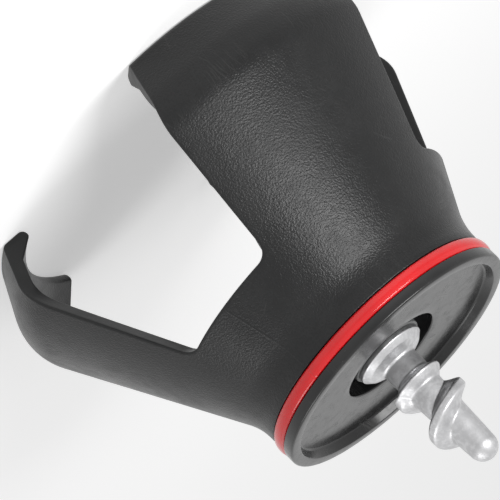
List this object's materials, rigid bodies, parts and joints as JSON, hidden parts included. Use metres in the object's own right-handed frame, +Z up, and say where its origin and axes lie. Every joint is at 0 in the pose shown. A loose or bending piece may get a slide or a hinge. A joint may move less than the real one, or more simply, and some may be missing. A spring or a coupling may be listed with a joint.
{
  "type": "golf ball grabber",
  "caption": "Rubber claw with sprung fingers that snaps over a golf ball, closed by a dished base cap with a coloured ring and a coarse screw for a club grip's end.",
  "frame": {"origin": "middle of the screw's flat head on the floor of the ball pocket, on the axis that the claw, cap and screw share", "axes": "+Z up along the screw, away from the pocket, with the claw standing on its finger tips; -Y towards the middle of the front finger"},
  "size_m": [0.0518, 0.0486, 0.05],
  "materials": {
    "claw_rubber": "black moulded rubber with a fine leathery grain, satin",
    "cap_plastic": "smooth black, semi-gloss",
    "ring_plastic": "glossy red",
    "bushing_plastic": "dark grey, matt",
    "washer_steel": "plain steel",
    "screw_metal": "silver, satin, cast"
  },
  "bodies": {
    "base": {"claw_hub": "claw_rubber", "base_cap": "cap_plastic", "accent_ring": "ring_plastic", "shank_bushing": "bushing_plastic", "pocket_washer": "washer_steel", "grip_screw": "screw_metal"},
    "front_finger": {"finger_front": "claw_rubber"},
    "right_finger": {"finger_right": "claw_rubber"},
    "left_finger": {"finger_left": "claw_rubber"}
  },
  "joints": [
    {"name": "front_finger_flex", "type": "hinge", "parent": "base", "child": "front_finger", "pos_m": [0, -0.01878, -0.0086], "axis": [-1, 0, 0], "range_deg": [-3, 10], "stiffness_Nm_per_rad": 1.2},
    {"name": "right_finger_flex", "type": "hinge", "parent": "base", "child": "right_finger", "pos_m": [0.01626, 0.00939, -0.0086], "axis": [0.5, -0.866, 0], "range_deg": [-3, 10], "stiffness_Nm_per_rad": 1.2},
    {"name": "left_finger_flex", "type": "hinge", "parent": "base", "child": "left_finger", "pos_m": [-0.01626, 0.00939, -0.0086], "axis": [0.5, 0.866, 0], "range_deg": [-3, 10], "stiffness_Nm_per_rad": 1.2}
  ]
}
